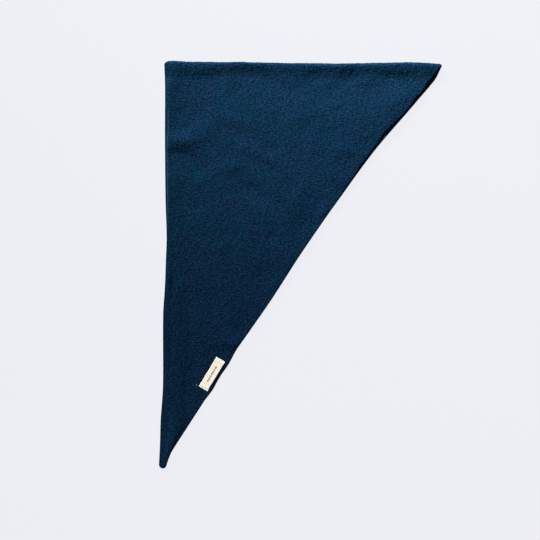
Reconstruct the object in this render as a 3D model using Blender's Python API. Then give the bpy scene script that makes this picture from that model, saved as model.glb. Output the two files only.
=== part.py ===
"""A knitted triangle scarf, folded in half across its middle and laid flat.

Each stretch of cloth is cut flat, as a wall with rounded edges, and then folded and
laid by one rule that takes every point of the flat wall to its place.

In the finished model +X runs from the long edge to the corner of the triangle, +Y runs
along the long edge from the tips to the fold, and +Z is up. The origin is under the
middle of the scarf, on the surface that it lies on. Lengths are written in millimetres
and become metres when a point is laid.
"""
import math

import bmesh
import bpy
from mathutils import Vector

MM = 0.001

# The cloth
CLOTH = 2.4  # thickness of the milled knit
GAP = 0.3  # between pieces that touch
EDGE_ROUND = 0.8  # how far the rounded edge of the wall stands out

# The fold, a soft roll across the middle of the triangle
FOLD_LINE = 318.0  # where the upper half starts to turn under
ROLL_HEIGHT = 9.0
TURN_UNDER = 6.0  # flat stretch of the upper half under the roll
BOW_REACH = 118.0  # how far down from the fold its unevenness is felt
LONG_CORNER = 6.0  # rounding of the fold's end at the long edge
SLANT_CORNER = 2.5  # rounding of the fold's end at the slanting edge

# The two wing tips, one on the other
TIP_ACROSS = -220.3
TIP_ALONG = -319.4
TIP_RADIUS = 6.3
TIP_LAST_ANGLE = -25.0  # where the round tip meets the slanting edge, in degrees

# How the upper half rests on the lower one
SLACK = 1.9  # air under the upper half, away from its edges
LEAST_AIR = 0.05  # over the gap, so that no fold reaches the lower half
EDGE_REACH = 46.0  # from an edge or the roll to where the cloth lies loosest
LONG_REACH = 30.0  # the same from the long edge
FOLD_FADE = 12.0  # stretch beside an edge where the folds fade
EDGE_SHARE = 0.35  # share of a fold's rise that is left at the edge
TROUGH_SHARE = 0.45  # the same halfway down the back of the roll

# The label, a folded strip sewn down at its two short ends
LABEL_LENGTH = 54.7
LABEL_WIDTH = 15.9
LABEL_THICK = 0.7
LABEL_EDGE_ROUND = 0.2
LABEL_ACROSS = -141.6
LABEL_ALONG = -175.0
LABEL_HEADING = 58.9  # of its length from +X, in degrees
LABEL_BOW = 1.1  # rise of its free side that faces the slanting edge

# Spacing of the facets
CELL_ACROSS = 10.0
CELL_ALONG = 8.5
FAR_CELL = 13.0  # along the plain stretch down to the tips
FAR_FROM_FOLD = 230.0  # where that stretch starts
NEAR_CELL = 2.0  # along, next to the roll
CELL_GROWTH = 0.18  # of the distance from the fold
HIDDEN_CELL = 24.0
LABEL_CELL = 5.5
ROLL_STEPS = 8
TIP_STEPS = 7
SNAP = 1.6  # a cut this near a point goes through it
SHARP_ANGLE = 50.0  # between faces, in degrees, over which an edge stays sharp

# The long edge: along, across
LONG_EDGE = (
    (318.0, -218.6),
    (290.0, -217.2),
    (200.0, -217.2),
    (110.0, -216.4),
    (46.0, -214.9),
    (0.0, -216.1),
    (-41.0, -217.6),
    (-80.0, -219.9),
    (-193.0, -220.2),
    (-249.0, -223.7),
    (-290.0, -225.1),
    (-319.4, -226.6),
)

# The slanting edge, which bows inwards: along, across
SLANT_EDGE = (
    (318.0, 226.6),
    (299.3, 216.6),
    (262.5, 187.0),
    (182.5, 118.5),
    (102.5, 60.0),
    (22.5, 4.2),
    (-57.5, -47.6),
    (-137.5, -103.0),
    (-217.5, -153.5),
    (-297.5, -204.7),
    (-310.0, -210.4),
    (-322.0, -214.6),
)

# Unevenness of the fold: across, shift along
FOLD_BOW = (
    (-219.0, 1.4),
    (-206.0, 2.7),
    (-190.0, 1.8),
    (-161.0, 0.7),
    (-137.0, 0.9),
    (-116.0, 0.7),
    (-97.0, 1.5),
    (-78.0, 0.3),
    (-58.0, 0.0),
    (-36.0, -0.8),
    (-1.0, -1.3),
    (38.0, -1.6),
    (63.0, -2.3),
    (94.0, -1.2),
    (127.0, -0.7),
    (150.0, -0.5),
    (178.0, 0.1),
    (207.0, -0.8),
    (226.0, -2.3),
)

# The roll of the fold is uneven: across, change of its height, its reach down to the
# trough, its lean (under 1, it falls away sooner than it flattens)
ROLL_SHAPE = (
    (-219.0, 0.2, 25.0, 0.90),
    (-190.0, 0.5, 26.0, 1.05),
    (-160.0, 0.7, 26.0, 1.05),
    (-137.0, 0.3, 25.0, 0.95),
    (-116.0, 0.0, 26.0, 0.80),
    (-97.0, 0.0, 21.5, 0.75),
    (-78.0, 0.1, 20.0, 0.75),
    (-58.0, 0.2, 24.0, 0.80),
    (-36.0, 0.4, 31.0, 0.80),
    (-12.0, 0.4, 30.0, 0.80),
    (12.0, 0.7, 26.0, 0.80),
    (38.0, 0.6, 27.0, 0.75),
    (66.0, 1.3, 25.0, 0.75),
    (94.0, 0.4, 27.0, 0.80),
    (120.0, 0.6, 25.0, 0.85),
    (150.0, 1.1, 23.0, 1.00),
    (172.0, 0.5, 26.0, 0.95),
    (200.0, 0.0, 27.0, 0.90),
    (226.0, 0.0, 21.0, 0.80),
)

# How far each half lies inside the outline:
# along, upper half at the long edge, at the slanting edge, lower half at the same two
SET_BACK = (
    (318.0, 0.5, 1.4, 0.2, 0.0),
    (308.0, 1.0, 4.7, 0.0, 0.0),
    (296.0, 1.8, 6.4, 0.0, 0.0),
    (287.0, 2.3, 6.4, 0.0, 0.0),
    (276.0, 2.5, 4.4, 0.0, 0.0),
    (266.0, 2.6, 4.8, 0.0, 0.0),
    (254.0, 2.6, 3.0, 0.0, 0.0),
    (236.0, 2.5, 2.2, 0.0, 0.0),
    (225.0, 2.6, 4.0, 0.0, 0.0),
    (211.0, 2.6, 7.0, 0.0, 0.0),
    (197.0, 2.6, 4.5, 0.0, 0.0),
    (183.0, 2.5, 4.5, 0.0, 0.0),
    (170.0, 2.5, 2.6, 0.0, 0.0),
    (158.0, 2.5, 3.4, 0.0, 0.0),
    (144.0, 2.4, 2.0, 0.0, 0.0),
    (119.0, 2.3, 0.9, 0.0, 0.0),
    (88.0, 2.2, 0.4, 0.0, 0.3),
    (20.0, 0.4, 0.2, 0.4, 0.8),
    (-100.0, 0.0, 0.2, 1.2, 0.8),
    (-250.0, 0.0, 0.2, 1.4, 0.8),
    (-322.0, 0.0, 0.2, 1.2, 0.8),
)

# Folds of the upper half, each a soft ridge, or a trough where its rise is negative:
# name, across and along at its middle, heading from +X, half length, half width, rise
FOLDS = (
    ("swell behind the trough", 60.0, 256.0, 0.0, 140.0, 20.0, 0.6),
    ("swell near the corner", 158.0, 264.0, 24.0, 45.0, 17.0, 1.2),
    ("swell at the slanting edge", 134.0, 229.0, 70.0, 34.0, 24.0, 1.5),
    ("rise in the trough, near the long edge", -153.0, 292.0, 0.0, 14.0, 10.0, 0.6),
    ("rise in the trough, long edge", -116.0, 294.0, 0.0, 11.0, 12.0, 1.5),
    ("rise in the trough, middle", -12.0, 296.0, 0.0, 20.0, 12.0, 1.9),
    ("rise in the trough, past the middle", 39.0, 293.0, 0.0, 11.0, 10.0, 1.0),
    ("rise in the trough, slanting edge", 105.0, 294.0, 0.0, 20.0, 11.0, 2.4),
    ("lifted corner at the long edge", -206.0, 292.0, 85.0, 24.0, 13.0, 3.3),
    ("ridge from the long edge", -190.0, 197.0, 6.0, 30.0, 12.0, 3.7),
    ("its run towards the fold", -140.0, 222.0, 44.0, 30.0, 12.0, 1.0),
    ("its run to the middle", -102.0, 229.0, -20.0, 24.0, 11.0, 1.6),
    ("hollow over the ridge", -184.0, 233.0, 40.0, 28.0, 18.0, -2.6),
    ("hollow under the ridge", -180.0, 164.0, -22.0, 32.0, 16.0, -2.8),
    ("swell beside the hollow", -111.0, 155.0, 8.0, 24.0, 11.0, 1.6),
    ("ridge in the middle", -70.0, 177.0, -32.0, 30.0, 10.0, 2.2),
    ("ridge over it", -17.0, 231.0, 62.0, 22.0, 11.0, 0.7),
    ("hollow in the middle", -72.0, 114.0, -35.0, 28.0, 13.0, -2.6),
    ("long swell", -70.0, 80.0, 62.0, 120.0, 34.0, 0.7),
    ("swell down the middle", -1.0, 108.0, 60.0, 20.0, 12.0, 1.4),
    ("ridge at the slanting edge", 78.0, 181.0, -20.0, 24.0, 10.0, 0.8),
    ("hollow at the slanting edge", 5.0, 62.0, 40.0, 22.0, 12.0, -1.4),
    ("ridge along the slanting edge", -26.0, 22.0, 122.0, 26.0, 11.0, 0.5),
    ("hollow under it", -63.0, -18.0, 15.0, 20.0, 12.0, -2.0),
    ("hollow at the long edge", -178.0, 112.0, 100.0, 26.0, 12.0, -2.8),
    ("swell down the long edge", -197.0, -90.0, 89.0, 130.0, 9.0, 0.9),
    ("hollow beside it", -174.0, -150.0, 92.0, 90.0, 11.0, -1.1),
    ("slanting hollow", -146.0, -62.0, -58.0, 30.0, 13.0, -2.4),
    ("ridge over the label", -107.0, -127.0, -14.0, 26.0, 10.0, 3.0),
    ("ridge down to the tips", -203.0, -275.0, 80.0, 50.0, 9.0, 2.4),
)

# Levels through a wall, from its underside: share of its thickness, share of its rounding
WALL_LEVELS = ((0.0, 0.0), (0.22, 0.8), (0.5, 1.0), (0.78, 0.8), (1.0, 0.0))

# Finishes: base colour, roughness
FINISHES = {
    "upper_half": ((0.010, 0.038, 0.082), 0.92),
    "lower_half": ((0.008, 0.032, 0.070), 0.92),
    "label": ((0.80, 0.77, 0.68), 0.80),
}


def smooth(share):
    """Rises from 0 to 1 with no corner at either end."""
    share = min(max(share, 0.0), 1.0)
    return share * share * (3.0 - 2.0 * share)


def read_table(table, key, column=1):
    """The table's column at a key, on a smooth curve through the rows."""
    rows = sorted(table)
    if key <= rows[0][0]:
        return rows[0][column]
    if key >= rows[-1][0]:
        return rows[-1][column]
    last = len(rows) - 1
    i = max(n for n in range(last) if rows[n][0] <= key)
    before, start, end, after = (rows[min(max(i + k, 0), last)] for k in (-1, 0, 1, 2))
    run = end[0] - start[0]
    share = (key - start[0]) / run
    leave = run * (end[column] - before[column]) / (end[0] - before[0])
    arrive = run * (after[column] - start[column]) / (after[0] - start[0])
    square, cube = share**2, share**3
    return (
        (2 * cube - 3 * square + 1) * start[column]
        + (cube - 2 * square + share) * leave
        + (3 * square - 2 * cube) * end[column]
        + (cube - square) * arrive
    )


def soft_folds(across, along):
    """Rise of all the soft folds at a point of the upper half."""
    rise = 0.0
    for _, middle_x, middle_y, heading, half_length, half_width, height in FOLDS:
        turn = math.radians(heading)
        dx, dy = across - middle_x, along - middle_y
        lengthwise = (dx * math.cos(turn) + dy * math.sin(turn)) / half_length
        sideways = (dy * math.cos(turn) - dx * math.sin(turn)) / half_width
        rise += height * math.exp(-(lengthwise**2) - sideways**2)
    return rise


def upper_height(across, along):
    """Height of the upper half's outer side over the surface."""
    along = min(along, FOLD_LINE)
    lowest = 2 * CLOTH + GAP
    from_long = across - read_table(LONG_EDGE, along)
    from_slant = read_table(SLANT_EDGE, along) - across
    lift = read_table(ROLL_SHAPE, across)
    reach = read_table(ROLL_SHAPE, across, 2)
    lean = read_table(ROLL_SHAPE, across, 3)
    from_roll = FOLD_LINE - along - reach / 2
    slack = SLACK * smooth(from_long / LONG_REACH)
    for distance in (from_slant, from_roll):
        slack *= smooth(distance / EDGE_REACH)
    folds = soft_folds(across, along) * smooth(TROUGH_SHARE + from_roll / EDGE_REACH)
    for distance in (from_long, from_slant):
        folds *= smooth(EDGE_SHARE + distance / FOLD_FADE)
    fall = min((FOLD_LINE - along) / reach, 1.0) ** lean
    roll = (ROLL_HEIGHT + lift - lowest) * 0.5 * (1.0 + math.cos(math.pi * fall))
    return lowest + max(slack + folds + roll, LEAST_AIR)


def bowed(across, along):
    """The place along the scarf, with the fold's unevenness."""
    near_fold = smooth(1.0 - (FOLD_LINE - along) / BOW_REACH)
    return along + read_table(FOLD_BOW, across) * near_fold


def on_upper(across, along, out):
    """A point this far out from the upper half's outer side."""
    step = 0.5
    slope_x = upper_height(across + step, along) - upper_height(across - step, along)
    slope_y = upper_height(across, along + step) - upper_height(across, along - step)
    normal = Vector((-slope_x / (2 * step), -slope_y / (2 * step), 1.0)).normalized()
    place = Vector((across, bowed(across, along), upper_height(across, along)))
    return place + normal * out


def roll_middle_radius():
    """Radius of the middle of the wall round the fold."""
    return (ROLL_HEIGHT - CLOTH) / 2


def lay_upper(across, along, depth):
    """Lays a point of the flat upper half. Past the fold line it turns under."""
    past = along - FOLD_LINE
    if past <= 0.0:
        return on_upper(across, along, depth - CLOTH)
    half_height = upper_height(across, FOLD_LINE) / 2
    turn_length = math.pi * roll_middle_radius()
    turn = min(past / turn_length, 1.0) * math.pi
    radius = half_height - CLOTH + depth
    under = max(past - turn_length, 0.0)
    fold_along = bowed(across, FOLD_LINE)
    level = max(half_height + radius * math.cos(turn), 0.0)
    return Vector((across, fold_along + radius * math.sin(turn) - under, level))


def lay_lower(across, along, depth):
    """Lays a point of the flat lower half, straight on the surface."""
    return Vector((across, bowed(across, along), depth))


def lay_label(lengthwise, sideways, depth):
    """Lays a point of the flat label on the upper half's own points, moved out."""
    turn = math.radians(LABEL_HEADING)
    across = LABEL_ACROSS + lengthwise * math.cos(turn) - sideways * math.sin(turn)
    along = LABEL_ALONG + lengthwise * math.sin(turn) + sideways * math.cos(turn)
    from_ends = max(1.0 - (2 * lengthwise / LABEL_LENGTH) ** 2, 0.0)
    free_side = smooth(0.5 - sideways / LABEL_WIDTH)
    return on_upper(across, along, GAP + depth + LABEL_BOW * from_ends * free_side)


def outline_at(along, half):
    """The long and the slanting edge of one half at a place along the scarf."""
    columns = (1, 2) if half == "upper" else (3, 4)
    long_back, slant_back = (read_table(SET_BACK, along, c) for c in columns)
    return read_table(LONG_EDGE, along) + long_back, read_table(SLANT_EDGE, along) - slant_back


def corner_inset(radius, from_end):
    """How much narrower a rounded corner is, this far from its end."""
    if from_end >= radius:
        return 0.0
    return radius - math.sqrt(radius**2 - (radius - from_end) ** 2)


def edges_round_fold(along):
    """The upper half's two edges where it turns under at the fold."""
    turn_length = math.pi * roll_middle_radius()
    share = min((along - FOLD_LINE) / turn_length, 1.0)
    from_end = ROLL_HEIGHT / 2 * (1.0 - math.sin(math.pi * share))
    under = max(along - FOLD_LINE - turn_length, 0.0)
    upper = outline_at(FOLD_LINE, "upper")
    lower = outline_at(FOLD_LINE - under, "lower")
    long_edge = upper[0] * (1 - share) + lower[0] * share
    slant_edge = upper[1] * (1 - share) + lower[1] * share
    return (
        long_edge + corner_inset(LONG_CORNER, from_end),
        slant_edge - corner_inset(SLANT_CORNER, from_end),
    )


def tip_arc(half):
    """The round tip of one half, from the long edge to the slanting edge."""
    long_back = read_table(SET_BACK, TIP_ALONG, 1 if half == "upper" else 3)
    radius = TIP_RADIUS - long_back
    first, last = math.radians(180.0), math.radians(360.0 + TIP_LAST_ANGLE)
    for i in range(1, TIP_STEPS):
        angle = first + (last - first) * i / TIP_STEPS
        yield TIP_ACROSS + radius * math.cos(angle), TIP_ALONG + radius * math.sin(angle)


def stations_up_to(top):
    """Places along the scarf from the round tip up to the top, closer near the fold."""
    place = TIP_ALONG
    while place < top - NEAR_CELL / 2:
        yield place
        to_fold = FOLD_LINE - place
        near = min(CELL_ALONG, max(NEAR_CELL, CELL_GROWTH * to_fold))
        place += FAR_CELL if to_fold > FAR_FROM_FOLD else near


def flat_outline(half, places):
    """The closed outline of one flat half, counter-clockwise, with these places along it."""
    edges = [
        edges_round_fold(s) if s > FOLD_LINE else outline_at(s, half) for s in places
    ]
    slant_side = [(slant_edge, s) for s, (_, slant_edge) in zip(places, edges)]
    long_side = [(long_edge, s) for s, (long_edge, _) in zip(places, edges)]
    return slant_side + long_side[::-1] + list(tip_arc(half))


def inset(points, distance):
    """The outline, counter-clockwise, moved in by a distance."""
    moved = []
    for i, here in enumerate(points):
        back, front = points[i - 1], points[(i + 1) % len(points)]
        first = Vector((here[0] - back[0], here[1] - back[1])).normalized()
        second = Vector((front[0] - here[0], front[1] - here[1])).normalized()
        inward = Vector((-first.y - second.y, first.x + second.x)).normalized()
        reach = distance / max(inward.dot(Vector((-first.y, first.x))), 0.5)
        moved.append((here[0] + inward.x * reach, here[1] + inward.y * reach))
    return moved


def cut_flat(outline, cuts):
    """A flat face with this outline, divided by straight cuts: (axis, place) each."""
    bm = bmesh.new()
    bm.faces.new([bm.verts.new((x, y, 0.0)) for x, y in outline])
    for axis, place in cuts:
        through = Vector((0.0, 0.0, 0.0))
        through[axis] = place
        direction = Vector((0.0, 0.0, 0.0))
        direction[axis] = 1.0
        everything = bm.verts[:] + bm.edges[:] + bm.faces[:]
        bmesh.ops.bisect_plane(
            bm, geom=everything, dist=SNAP, plane_co=through, plane_no=direction
        )
    bmesh.ops.recalc_face_normals(bm, faces=bm.faces[:])
    return bm


def mark_outward(bm):
    """Notes, on each point of the outline, which way is out."""
    outward = bm.verts.layers.float_vector.new("outward")
    for vert in bm.verts:
        vert[outward] = Vector((0.0, 0.0, 0.0))
    for edge in bm.edges:
        if not edge.is_boundary:
            continue
        loop = edge.link_loops[0]
        run = (loop.link_loop_next.vert.co - loop.vert.co).normalized()
        if loop.face.normal.z < 0.0:
            run.negate()
        for vert in edge.verts:
            vert[outward] += Vector((run.y, -run.x, 0.0))
    for vert in bm.verts:
        if vert[outward].length > 0.0:
            vert[outward] = vert[outward].normalized()
    return outward


def thicken(bm, thickness, rounding):
    """Makes the flat face a wall with a rounded edge, its underside at zero."""
    outward = mark_outward(bm)
    rim = [edge for edge in bm.edges if edge.is_boundary]
    upper_side = bmesh.ops.duplicate(bm, geom=bm.verts[:] + bm.edges[:] + bm.faces[:])
    top_verts = [g for g in upper_side["geom"] if isinstance(g, bmesh.types.BMVert)]
    bmesh.ops.translate(bm, verts=top_verts, vec=(0.0, 0.0, thickness))
    for (level, out), (next_level, next_out) in zip(WALL_LEVELS, WALL_LEVELS[1:]):
        made = bmesh.ops.extrude_edge_only(bm, edges=rim)["geom"]
        verts = [g for g in made if isinstance(g, bmesh.types.BMVert)]
        made_edges = {g for g in made if isinstance(g, bmesh.types.BMEdge)}
        new = set(verts)
        for vert in verts:
            vert.co += vert[outward] * (next_out - out) * rounding
            vert.co.z += (next_level - level) * thickness
        rim = [edge for edge in made_edges if set(edge.verts) <= new]
    bmesh.ops.remove_doubles(bm, verts=bm.verts[:], dist=0.01)
    bmesh.ops.recalc_face_normals(bm, faces=bm.faces[:])


def make_piece(name, bm, lay):
    """Lays the flat wall and makes it the named object, with its finish."""
    for vert in bm.verts:
        vert.co = lay(*vert.co) * MM
    mesh = bpy.data.meshes.new(name)
    bm.to_mesh(mesh)
    bm.free()
    mesh.shade_smooth()
    mesh.set_sharp_from_angle(angle=math.radians(SHARP_ANGLE))
    piece = bpy.data.objects.new(name, mesh)
    bpy.context.collection.objects.link(piece)
    colour, roughness = FINISHES[name]
    material = bpy.data.materials.new(name)
    material.use_nodes = True
    shader = material.node_tree.nodes["Principled BSDF"]
    shader.inputs["Base Color"].default_value = (*colour, 1.0)
    shader.inputs["Roughness"].default_value = roughness
    shader.inputs["Metallic"].default_value = 0.0
    mesh.materials.append(material)


def spread(first, last, step):
    """Evenly spaced places between two ends, about a step apart."""
    count = max(round((last - first) / step), 1)
    return [first + (last - first) * i / count for i in range(1, count)]


def make_upper_half():
    """The upper half of the folded cloth, with the roll of the fold."""
    turn_length = math.pi * roll_middle_radius()
    places = list(stations_up_to(FOLD_LINE))
    places += [FOLD_LINE + turn_length * i / ROLL_STEPS for i in range(ROLL_STEPS + 1)]
    end = FOLD_LINE + turn_length + TURN_UNDER
    outline = inset(flat_outline("upper", places + [end]), EDGE_ROUND)
    widest = outline_at(FOLD_LINE, "upper")
    cuts = [(1, s) for s in places]
    cuts += [(0, x) for x in spread(*widest, CELL_ACROSS)]
    wall = cut_flat(outline, cuts)
    thicken(wall, CLOTH, EDGE_ROUND)
    make_piece("upper_half", wall, lay_upper)


def make_lower_half():
    """The lower half, hidden but for its margins, with a flat underside."""
    end = FOLD_LINE - TURN_UNDER - GAP
    places = list(stations_up_to(end)) + [end]
    outline = inset(flat_outline("lower", places), EDGE_ROUND)
    widest = outline_at(end, "lower")
    cuts = [(1, s) for s in spread(TIP_ALONG, end, HIDDEN_CELL)]
    cuts += [(0, x) for x in spread(*widest, HIDDEN_CELL)]
    wall = cut_flat(outline, cuts)
    thicken(wall, CLOTH, EDGE_ROUND)
    make_piece("lower_half", wall, lay_lower)


def make_label():
    """The woven label, a narrow strip on the upper half."""
    half_length, half_width = LABEL_LENGTH / 2, LABEL_WIDTH / 2
    corners = [(-1, -1), (1, -1), (1, 1), (-1, 1)]
    outline = [(half_length * a, half_width * b) for a, b in corners]
    cuts = [(0, x) for x in spread(-half_length, half_length, LABEL_CELL)]
    cuts += [(1, y) for y in spread(-half_width, half_width, LABEL_CELL)]
    strip = cut_flat(inset(outline, LABEL_EDGE_ROUND), cuts)
    thicken(strip, LABEL_THICK, LABEL_EDGE_ROUND)
    make_piece("label", strip, lay_label)


def clear_scene():
    """Removes what the scene holds."""
    for thing in list(bpy.data.objects):
        bpy.data.objects.remove(thing, do_unlink=True)


clear_scene()
make_upper_half()
make_lower_half()
make_label()
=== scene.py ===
"""The looks of the knitted triangle scarf: milled wool, folded in half and laid flat.

The cloth is cut flat as a fine shell, then folded and laid by much the same rule as the
solids that it stands for, with its stitches, cloudy nap and smaller folds added.
Lengths are written in millimetres and become metres when a point is laid. On the flat
cloth a place is (across, along, depth), with the depth from the cloth's inner side.
"""
import math

import bmesh
import bpy
import numpy as np
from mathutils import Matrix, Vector


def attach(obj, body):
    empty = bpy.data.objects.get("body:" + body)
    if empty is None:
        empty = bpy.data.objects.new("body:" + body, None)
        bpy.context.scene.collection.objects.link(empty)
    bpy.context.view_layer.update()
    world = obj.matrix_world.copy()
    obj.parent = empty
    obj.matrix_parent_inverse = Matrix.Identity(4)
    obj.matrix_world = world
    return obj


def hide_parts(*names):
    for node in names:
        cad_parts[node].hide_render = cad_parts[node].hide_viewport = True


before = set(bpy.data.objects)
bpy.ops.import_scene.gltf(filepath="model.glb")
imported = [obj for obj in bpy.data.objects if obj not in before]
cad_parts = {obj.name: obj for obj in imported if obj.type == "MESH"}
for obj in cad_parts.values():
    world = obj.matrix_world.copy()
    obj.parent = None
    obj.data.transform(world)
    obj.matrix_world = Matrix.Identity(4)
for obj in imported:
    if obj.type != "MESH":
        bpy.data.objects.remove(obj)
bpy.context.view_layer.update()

MM = 0.001

# The cloth and its fold, as in the solids
CLOTH = 2.4
GAP = 0.3
EDGE_ROUND = 1.1
FOLD_LINE = 318.0
ROLL_HEIGHT = 9.0
TURN_UNDER = 6.0
BOW_REACH = 118.0
LONG_CORNER = 6.0
SLANT_CORNER = 2.5
TIP_ACROSS = -220.3
TIP_ALONG = -319.4
TIP_RADIUS = 6.3
TIP_LAST_ANGLE = -25.0
SLACK = 1.9  # air under the upper half, well inside its edges
SLACK_REACH = 80.0
LONG_SLACK = (0.5, 0.9)  # share of it at the long edge, by the tips and by the fold
LONG_SLACK_TURN = (60.0, 120.0)  # where along the scarf the one share becomes the other
SLANT_SLACK = 0.1  # share of it at the slanting edge
LEAST_AIR = 0.05
TROUGH_REACH = 46.0  # how far from the trough a fold reaches its full rise
TROUGH_SHARE = 0.45
FOLD_FADE = 12.0
EDGE_SHARE = 0.35
TURN_LENGTH = math.pi * (ROLL_HEIGHT - CLOTH) / 2
SAME_PLACE = 0.0001  # points nearer than this are one

# The label
LABEL_LENGTH = 54.7
LABEL_WIDTH = 15.9
LABEL_THICK = 0.7
LABEL_ACROSS = -141.6
LABEL_ALONG = -175.0
LABEL_HEADING = math.radians(58.9)
LABEL_BOW = 0.5
LABEL_DRAWN = 0.7  # how far its free side is drawn in
LABEL_EDGE_ROUND = 0.2
MOTIF_PITCH = 4.16  # of the lozenges woven in the label
MOTIF_HEIGHT = 4.4
MOTIF_COUNT = 7
WARP_PITCH = 0.26
WEFT_PITCH = 0.34
SEWING_PITCH = 2.1
SEWING_INSET = 1.7  # from the label's ends to the stitches across them
SEWING_RADIUS = 0.19
SEWING_ARCH = 0.20
SEWING_SUNK = 0.12
THREAD_END_RADIUS = 0.17

# The end of the sewing thread, which comes up beside the label: across, along, height
THREAD_END = (
    (-165.9, -191.2, -0.5), (-166.1, -191.7, 0.1), (-166.5, -192.3, 0.4), (-167.0, -192.9, 0.4),
    (-167.2, -193.5, 0.1), (-167.0, -194.0, -0.2),
)

# Colours, and the light
# From hollow to crest of the knit: the wool's random tone, with painted shade in the hollows and a
# painted highlight on the crests
DEEP_WOOL_AND_SHADE = (0.0, 0.0052, 0.0176)
CREST_WOOL_AND_HIGHLIGHT = (0.0054, 0.0212, 0.0424)
TEAL_CAST = (0.76, 1.06, 0.955)
VIOLET_CAST = (1.27, 0.94, 1.045)
# Paler wool for lines by the long edge: a painted highlight where the rim catches the light
PAINTED_RIM_HIGHLIGHT = (0.011, 0.032, 0.052)
# Darker wool for lines at the long edge: painted shade for the gap beside the edge
PAINTED_EDGE_SHADE = (0.0003, 0.0062, 0.0125)
# Darker wool for the whole lower half: painted shade for the shadowed gap beside the upper half's
# edge
DEEP_MARGIN_PAINTED_SHADE = (0.0, 0.0040, 0.0116)
CREST_MARGIN_PAINTED_SHADE = (0.0022, 0.0160, 0.0280)
LABEL_CREAM = (0.72, 0.70, 0.58)
LABEL_SHADE = (0.63, 0.60, 0.475)
MOTIF_COLOUR = (0.06, 0.055, 0.04)
FLOOR_TONE = (0.855, 0.863, 0.905)
FLOOR_GLOW = (0.835, 0.843, 0.885)
CAMERA_PLACE = (-0.0492, -0.0087, 2.04)
KEY_PLACE = (-1.11, 2.01, 0.81)
KEY_AIM = (0.33, 1.07, 0.04)
KEY_SPREAD = math.radians(78.0)
KEY_ENERGY = 121.0
FILL_PLACE = (-0.88, -0.44, 0.30)
FILL_AIM = (-0.21, -0.28, 0.0)
FILL_SPREAD = math.radians(19.0)
FILL_ENERGY = 0.14
KEY_COLOUR = (1.0, 1.0, 1.0)
FILL_COLOUR = (1.10, 0.90, 0.98)
AMBIENT = 0.26

# The wool: depths of its bump, shares and shift of its tone, its clouds of violet
STITCH_DEPTH = 0.22
NAP_DEPTH = 0.34
SPECKLE_SHARE = 3.3
TONE_SHIFT = -1.87
MELANGE_CLOUDS = 38.0  # a metre
VIOLET_BY_TIPS = 0.28
VIOLET_TURN = (0.10, -0.08)  # along the scarf, in metres

# The knit: its courses run along the scarf and its ribs across it, a little skewed
COURSE = 3.67
WALE = 4.16
SKEW = math.tan(math.radians(6.1))
POINTS_PER_STITCH = 3
MARGIN = 13.0  # finely knit stretch of the lower half beside its edges
RIB_RISE = 0.085
STITCH_RISE = 0.006
SHOULDER_DROP = 0.7  # how much lower the upper half is at its long edge
SLANT_DROP = 0.42  # and at its slanting edge
SHOULDER_WIDTH = 4.2
SLANT_DROP_TURN = (80.0, 130.0)  # where along the scarf this begins and is full
CORNER_TURN = (242.0, 258.0)  # where the drop at the long edge becomes less
CORNER_SHARE = 0.7
SLANT_WIDER = 1.3  # how much wider such forms are across the slanting edge
LONG_GROOVE = 1.5  # depth of the lower half's groove beside the upper half's edge
SLANT_GROOVE = 0.5
GROOVE_SPAN = (-1.6, 2.2)  # from under the upper half's edge to past it
GROOVE_FADE = 1.2
CURL_RISE = 3.2  # of the lower half's slanting edge, where it lifts
CURL_TURN = (0.7, 2.1)  # past the upper half's edge
OUTLINE_STEP = 2.5
SHARP_TURN = 1.15  # of the cut line, where a point lands on the corner itself

# Where the lower half's slanting edge lifts: along, half length
CURLS = ((262.0, 13.0), (240.0, 14.0), (221.0, 11.0), (200.0, 14.0), (178.0, 12.0))

# Clouds of the nap: size, seed, height
NAP_CLOUDS = (
    (2.2, 8, 0.17), (4.4, 5, 0.09), (8.5, 3, 0.08), (17.0, 4, 0.10), (33.0, 6, 0.10),
)

# Painted light beside the long edge, a painted highlight where paler and painted shade where
# darker: half, tone (to 1 paler, to -1 darker), how far in, half width (both before and past
# a step), where it begins, where it ends
PAINTED_RIM_STEP = (202.0, 210.0)
PAINTED_RIM_LINES = (
    ("lower", 1.0, (1.0, 1.0), (1.0, 1.0), (244.0, 256.0), (298.0, 284.0)),
    ("upper", 1.0, (1.2, 2.7), (1.0, 1.0), (55.0, 95.0), (252.0, 238.0)),
    ("upper", -0.7, (0.0, 0.0), (0.66, 1.485), (60.0, 90.0), (256.0, 242.0)),
    ("upper", -0.95, (0.0, 0.0), (1.7, 1.7), (-400.0, -390.0), (60.0, 20.0)),
)

# Levels round the cloth's edge, from its shown side: depth, share of the rounding
EDGE_LEVELS = ((2.28, 0.42), (1.95, 0.78), (1.40, 0.99), (0.75, 0.93), (0.22, 0.55), (0.0, 0.0))

# The long edge: along, across
LONG_EDGE = (
    (318.0, -218.6), (290.0, -217.2), (200.0, -217.2), (110.0, -216.4), (46.0, -214.9),
    (0.0, -216.1), (-41.0, -217.6), (-80.0, -219.9), (-193.0, -220.2), (-249.0, -223.7),
    (-290.0, -225.1), (-319.4, -226.6),
)

# The slanting edge: along, across
SLANT_EDGE = (
    (318.0, 226.6), (299.3, 216.6), (262.5, 187.0), (182.5, 118.5), (102.5, 60.0), (22.5, 4.2),
    (-57.5, -47.6), (-137.5, -103.0), (-150.0, -109.9), (-162.0, -116.8), (-176.0, -126.7),
    (-188.0, -133.8), (-200.0, -140.3), (-210.0, -147.8), (-217.5, -153.5), (-297.5, -204.7),
    (-310.0, -210.4), (-322.0, -214.6),
)

# Unevenness of the fold: across, shift along
FOLD_BOW = (
    (-219.0, 1.4), (-206.0, 2.7), (-190.0, 1.8), (-161.0, 0.7), (-137.0, 0.9), (-116.0, 0.7),
    (-97.0, 1.5), (-78.0, 0.3), (-58.0, 0.0), (-36.0, -0.8), (-1.0, -1.3), (38.0, -1.6),
    (63.0, -2.3), (94.0, -1.2), (127.0, -0.7), (150.0, -0.5), (178.0, 0.1), (207.0, -0.8),
    (226.0, -2.3),
)

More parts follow.
